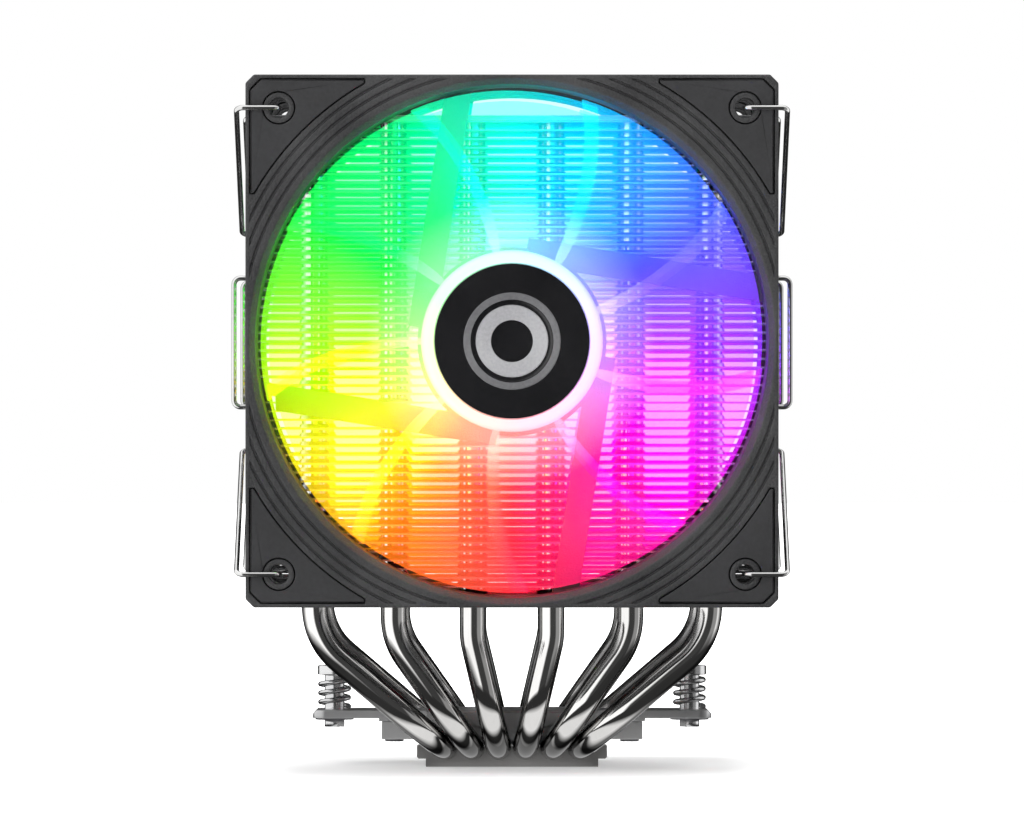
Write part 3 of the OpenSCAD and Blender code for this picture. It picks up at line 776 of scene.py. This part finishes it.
class COOLER_OT_impellers(CoolerOperator, bpy.types.Operator):
    """Shape one swept blade, copy it round the hub and turn the hub cup, whose glow is painted in"""
    bl_idname = "cooler.impellers"
    bl_label = "Impellers"

    def blade(self, place, hub_r, tip_r, middle_y):
        """A grid pulled into a pitched, cambered and swept blade, then thickened"""
        rows, columns = 14, 12
        bpy.ops.mesh.primitive_grid_add(x_subdivisions=columns, y_subdivisions=rows, size=2)
        blade = settle(bpy.context.object, "blade")
        fan = self.fan
        with Editing(blade):
            mesh = bmesh.from_edit_mesh(blade.data)
            for vert in mesh.verts:
                across, outward = vert.co.x / 2, (vert.co.y + 1) / 2
                r = hub_r + (tip_r - hub_r) * outward
                chord = fan.chord_hub + (fan.chord_tip - fan.chord_hub) * outward ** 0.8
                pitch = fan.pitch_hub + (fan.pitch_tip - fan.pitch_hub) * outward ** 0.85
                rise = across * chord * math.sin(pitch) + fan.camber * (1 - 4 * across ** 2) - fan.camber / 2
                turn = across * chord * math.cos(pitch) / r + fan.sweep * outward ** 1.5
                turn += (0.06 if across > 0 else -0.06) * abs(2 * across) ** 3 * (outward - 0.5) * 0.5
                vert.co = Vector((r * math.cos(turn), -rise, r * math.sin(turn)))
            bmesh.update_edit_mesh(blade.data)
        apply_modifier(blade, "SOLIDIFY", thickness=fan.blade_t, offset=0)
        apply_modifier(blade, "BEVEL", width=0.35 * fan.blade_t, segments=2, limit_method="ANGLE",
                       angle_limit=math.radians(50))
        blade.location = (place["x"], middle_y, place["z"])
        settle(blade)
        recalculate(blade)
        return blade

    def execute(self, context):
        for fan in FANS:
            place = FAN[fan]
            low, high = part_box(f"{fan}_impeller")
            badge_low, badge_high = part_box(f"{fan}_hub_badge")
            badge_r = (badge_high.x - badge_low.x) / 2
            hub_r = badge_r + HUB_WALL
            tip_r = (high.z - low.z) / 2
            axis = Vector((place["x"], 0, place["z"]))
            cup_front, cup_rear = low.y, high.y
            blade_low, blade_high = cup_front + 0.4 * MM, cup_rear
            first = self.blade(place, hub_r - 0.6 * MM, tip_r, (blade_low + blade_high) / 2 - 0.2 * MM)
            blades = [first]
            for k in range(1, self.fan.blades):
                other = copy_of(first, f"blade_{k}")
                turn = Matrix.Rotation(2 * math.pi * k / self.fan.blades, 4, "Y")
                other.data.transform(Matrix.Translation(axis) @ turn @ Matrix.Translation(-axis))
                blades.append(other)
            vanes = join(blades, f"{fan}_blades")
            smooth(vanes, 50)
            place_piece(give(vanes, FINISH[f"{fan}_blade_light"]), f"{fan}_rotor", "blade_plastic",
                        f"{fan}_impeller")
            depth = cup_rear - cup_front
            cup = turned(f"{fan}_hub_cup", hub_r, depth, axis + Vector((0, (cup_front + cup_rear) / 2, 0)),
                         [(hub_r - badge_r - BADGE_GAP, -0.55 * MM)])
            with Editing(cup, "FACE") as edit:
                edit.select("faces", lambda f: f.normal.y > 0.99 and len(f.verts) > 4)
                bpy.ops.mesh.inset(thickness=1.6 * MM, depth=0)
                bpy.ops.mesh.extrude_region_move(TRANSFORM_OT_translate={"value": (0, -(depth - 2.6 * MM), 0)})
            with Editing(cup, "EDGE") as edit:
                edit.select("edges", lambda e: abs(edge_middle(e).y - cup_front) < 1e-6
                            and (edge_middle(e) - axis).xz.length > hub_r - 0.2 * MM)
                bpy.ops.mesh.bevel(offset=self.fan.hub_edge, segments=5, affect="EDGES")
            soften(cup, 0.15 * MM)
            place_piece(give(cup, FINISH[f"{fan}_hub_light"]), f"{fan}_rotor", "blade_plastic")
            badge = turned(f"{fan}_badge", badge_r - 0.05 * MM, badge_high.y - badge_low.y,
                           axis + Vector((0, (badge_low.y + badge_high.y) / 2, 0)),
                           [(badge_r - BADGE_RIM, 0), (0.1 * MM, 0.25 * MM), (1.5 * MM, 0), (0.3 * MM, -0.2 * MM),
                            (0.7 * MM, 0), (0.3 * MM, 0.2 * MM), (3.0 * MM, 0), (0.3 * MM, -0.3 * MM)])
            soften(badge, 0.12 * MM)
            give(badge, FINISH["badge_black"], FINISH["ring_grey"], FINISH["ring_dim"])
            for face in badge.data.polygons:
                r = (face.center - axis).xz.length
                if len(face.vertices) < 8 and face.normal.y < -0.2:
                    for index, (inner, outer) in enumerate((GREY_RING, DIM_RING), start=1):
                        if inner < r < outer:
                            face.material_index = index
            place_piece(badge, f"{fan}_rotor", "badge_black", f"{fan}_hub_badge")
        return {"FINISHED"}


class COOLER_OT_clips(CoolerOperator, bpy.types.Operator):
    """Bend the four wire clips"""
    bl_idname = "cooler.clips"
    bl_label = "Fan clips"

    def execute(self, context):
        r = self.metal.wire_r
        for fan in FANS:
            place = FAN[fan]
            for side, sign in SIDES:
                node = f"{fan}_clip_{side}"
                low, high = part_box(node)
                near, far = sorted((abs(low.x), abs(high.x)))
                hook_x, finger_x = near + r, far - r
                arm_x, groove_x = finger_x - FINGER_REACH, size_of("front_fin_stack").x / 2 - GROOVE_DEPTH
                front_y, rear_y = low.y + r, high.y - r
                hook_z = (high.z - low.z) / 2 - r
                half = [(hook_x, front_y + HOOK_DEPTH, hook_z), (hook_x, front_y, hook_z),
                        (arm_x, front_y, hook_z), (arm_x, rear_y, ARM_END_Z), (groove_x, rear_y, ARM_END_Z),
                        (groove_x, rear_y, FINGER_Z), (finger_x, rear_y, FINGER_Z)]
                up = [Vector((sign * x, y, place["z"] + z)) for x, y, z in half]
                down = [Vector((sign * x, y, place["z"] - z)) for x, y, z in reversed(half)]
                points = up + down
                bends = [self.metal.wire_bend] * len(points)
                wire = rod(f"{fan}_wire_{side}", points, bends, r, sides=20, arc_steps=8)
                place_piece(give(wire, FINISH["clip_wire"]), f"{fan}_{side}_clip", "clip_wire", node)
        return {"FINISHED"}


# ---------- stage ----------

class COOLER_OT_stage(CoolerOperator, bpy.types.Operator):
    """Set the camera, the pale floor, the studio lights and the coloured lamps' light"""
    bl_idname = "cooler.stage"
    bl_label = "Stage"

    def area(self, name, place, target, size, power, shade=(1, 1, 1)):
        data = bpy.data.lights.new(name, "AREA")
        data.shape, data.size, data.size_y = "RECTANGLE", size[0], size[1]
        data.energy = power * bpy.context.scene.cooler_stage.light
        data.color = shade
        lamp = bpy.data.objects.new(name, data)
        lamp.location = place
        lamp.rotation_euler = (Vector(target) - Vector(place)).to_track_quat("-Z", "Y").to_euler()
        lamp.visible_glossy = False
        bpy.context.scene.collection.objects.link(lamp)

    def sky(self):
        world = bpy.data.worlds.new("studio")
        bpy.context.scene.world = world
        world.use_nodes = True
        tree = world.node_tree
        background = tree.nodes["Background"]
        place = tree.nodes.new("ShaderNodeTexCoord")
        axes = tree.nodes.new("ShaderNodeSeparateXYZ")
        tree.links.new(place.outputs["Generated"], axes.inputs[0])
        side = tree.nodes.new("ShaderNodeMath")
        side.operation = "ARCTAN2"
        back = tree.nodes.new("ShaderNodeMath")
        back.operation = "MULTIPLY"
        back.inputs[1].default_value = -1
        tree.links.new(axes.outputs[1], back.inputs[0])
        tree.links.new(axes.outputs[0], side.inputs[0])
        tree.links.new(back.outputs[0], side.inputs[1])
        share = tree.nodes.new("ShaderNodeMath")
        share.operation = "MULTIPLY_ADD"
        share.inputs[1].default_value = 0.5 / math.pi
        share.inputs[2].default_value = 0.5
        tree.links.new(side.outputs[0], share.inputs[0])
        walls = tree.nodes.new("ShaderNodeValToRGB")
        tree.links.new(share.outputs[0], walls.inputs[0])
        # From the rear, past the left side, the front and the right side: dark and bright panels of the studio
        panels = [(-180, 0.02), (-132, 0.03), (-124, 1.2), (-18, 1.2), (-8, 0.05), (36, 0.05), (44, 0.30),
                  (74, 0.30), (86, 1.1), (120, 1.1), (130, 0.02), (180, 0.02)]
        fill_ramp(walls.color_ramp, [(turn / 360 + 0.5, (shade, shade, shade)) for turn, shade in panels])
        height = tree.nodes.new("ShaderNodeMapRange")
        height.inputs["From Min"].default_value = 0.45
        height.inputs["From Max"].default_value = 0.85
        tree.links.new(axes.outputs[2], height.inputs["Value"])
        dome = tree.nodes.new("ShaderNodeMix")
        dome.data_type = "RGBA"
        dome.inputs[7].default_value = (1.3, 1.3, 1.3, 1)
        tree.links.new(height.outputs[0], dome.inputs[0])
        tree.links.new(walls.outputs[0], dome.inputs[6])
        seen = tree.nodes.new("ShaderNodeLightPath")
        shown = tree.nodes.new("ShaderNodeMix")
        shown.data_type = "RGBA"
        shown.inputs[7].default_value = (1.0, 1.0, 1.0, 1)
        tree.links.new(seen.outputs["Is Camera Ray"], shown.inputs[0])
        tree.links.new(dome.outputs[2], shown.inputs[6])
        tree.links.new(shown.outputs[2], background.inputs["Color"])

    def execute(self, context):
        stage = context.scene.cooler_stage
        context.scene.view_settings.view_transform = "Standard"
        data = bpy.data.cameras.new("camera")
        data.lens, data.sensor_width, data.clip_end = stage.lens, 36, 20
        camera = bpy.data.objects.new("camera", data)
        camera.location = (0, FAN["front"]["front"] - stage.distance, stage.height)
        camera.rotation_euler = (math.pi / 2, 0, 0)
        context.scene.collection.objects.link(camera)
        context.scene.camera = camera

        bpy.ops.mesh.primitive_circle_add(vertices=96, radius=6, fill_type="NGON", location=(0, 0, -0.0002))
        floor = settle(context.object, "floor")
        with Editing(floor, "FACE"):
            bpy.ops.mesh.select_all(action="SELECT")
            bpy.ops.mesh.inset(thickness=4.5, depth=0)
        give(floor, self.floor_paint(stage.floor))

        self.sky()
        self.area("key", (-0.9, -1.3, 1.1), (0, -0.03, 0.09), (0.9, 0.9), 13)
        self.area("fill", (1.2, -0.9, 0.5), (0, -0.03, 0.09), (0.5, 0.9), 3)
        self.area("top", (0, 0.1, 1.5), (0, 0, 0.1), (0.9, 0.9), 14)
        self.area("rear", (0.4, 1.3, 0.8), (0, 0, 0.1), (0.9, 0.6), 9)
        self.lamp_glow()
        return {"FINISHED"}

    def floor_paint(self, shade):
        """Pale paper with a painted glow that grows away from the cooler, so it fades into the background far
        away; polished metal sees painted bands of light and dark in it, and then the sky
        """
        m = Nodes("floor")
        away = m.add("ShaderNodeVectorMath", {0: m.place}, operation="LENGTH").outputs["Value"]
        # Painted glow: the floor's own light grows from 0.3 near the cooler to 1.0 far away
        far = m.add("ShaderNodeMapRange", {"Value": away, "From Min": 0.12, "From Max": 0.6, "To Min": 0.3,
                                           "To Max": 1.0}).outputs[0]
        m.set(Base_Color=m.ramp(m.noise(3, 2), [(0.3, tuple(0.94 * c for c in shade)), (0.7, tuple(shade))]),
              Roughness=0.8, Emission_Color=(1, 1, 1, 1), Emission_Strength=far, Specular_IOR_Level=0.1)
        # Seen only by reflections: painted rings of light and dark on the floor round the cooler, then clear
        # through to the sky
        bands = [(0.285, 0.9), (0.305, 0.03), (0.335, 0.03), (0.37, 0.85), (0.50, 0.85), (0.58, 0.03)]
        near = m.ramp(m.math("MULTIPLY", away, 10), [(reach, (tone, tone, tone)) for reach, tone in bands])
        close = m.add("ShaderNodeEmission", {"Strength": near})
        beyond = m.add("ShaderNodeMapRange", {"Value": away, "From Min": 0.10, "From Max": 0.16}).outputs[0]
        mirror = m.add("ShaderNodeMixShader", {0: beyond, 1: close.outputs[0],
                                               2: m.add("ShaderNodeBsdfTransparent").outputs[0]})
        path = m.add("ShaderNodeLightPath")
        both = m.add("ShaderNodeMixShader", {0: path.outputs["Is Glossy Ray"], 1: m.shader.outputs[0],
                                             2: mirror.outputs[0]})
        m.tree.links.new(both.outputs[0], m.tree.nodes["Material Output"].inputs["Surface"])
        return m.material

    def lamp_glow(self):
        for fan in FANS:
            place = FAN[fan]
            for k, shade in enumerate(CLOCK):
                turn = 2 * math.pi * k / len(CLOCK)
                data = bpy.data.lights.new(f"{fan}_glow_{k}", "POINT")
                data.energy = self.fan.lamp_power
                data.color = shade
                data.shadow_soft_size = 0.006
                lamp = bpy.data.objects.new(f"{fan}_glow_{k}", data)
                reach = 0.7 * place["half"]
                lamp.location = (place["x"] + reach * math.sin(turn), place["rear"] - 1 * MM,
                                 place["z"] + reach * math.cos(turn))
                lamp.visible_glossy = False
                bpy.context.scene.collection.objects.link(lamp)


# ---------- add-on ----------

FINISH = {}
OPERATORS = (COOLER_OT_finishes, COOLER_OT_heat_pipes, COOLER_OT_fin_collars, COOLER_OT_base,
             COOLER_OT_sprung_screws, COOLER_OT_fan_frames, COOLER_OT_impellers, COOLER_OT_clips, COOLER_OT_stage)


class COOLER_PT_panel(bpy.types.Panel):
    """Lists the pieces of the cooler"""
    bl_idname = "COOLER_PT_panel"
    bl_label = "Processor cooler"
    bl_space_type = "VIEW_3D"
    bl_region_type = "UI"
    bl_category = "Cooler"

    def draw(self, context):
        for operator in OPERATORS:
            self.layout.operator(operator.bl_idname)
        for group in GROUPS:
            settings = getattr(context.scene, group)
            for name in settings.__annotations__:
                self.layout.prop(settings, name)


def register():
    for cls in (*GROUPS.values(), *OPERATORS, COOLER_PT_panel):
        bpy.utils.register_class(cls)
    for name, group in GROUPS.items():
        setattr(bpy.types.Scene, name, bpy.props.PointerProperty(type=group))


def unregister():
    for name in GROUPS:
        delattr(bpy.types.Scene, name)
    for cls in reversed((*GROUPS.values(), *OPERATORS, COOLER_PT_panel)):
        bpy.utils.unregister_class(cls)


def main():
    register()
    for operator in OPERATORS:
        group, name = operator.bl_idname.split(".")
        getattr(getattr(bpy.ops, group), name)()


if __name__ == "__main__":
    main()
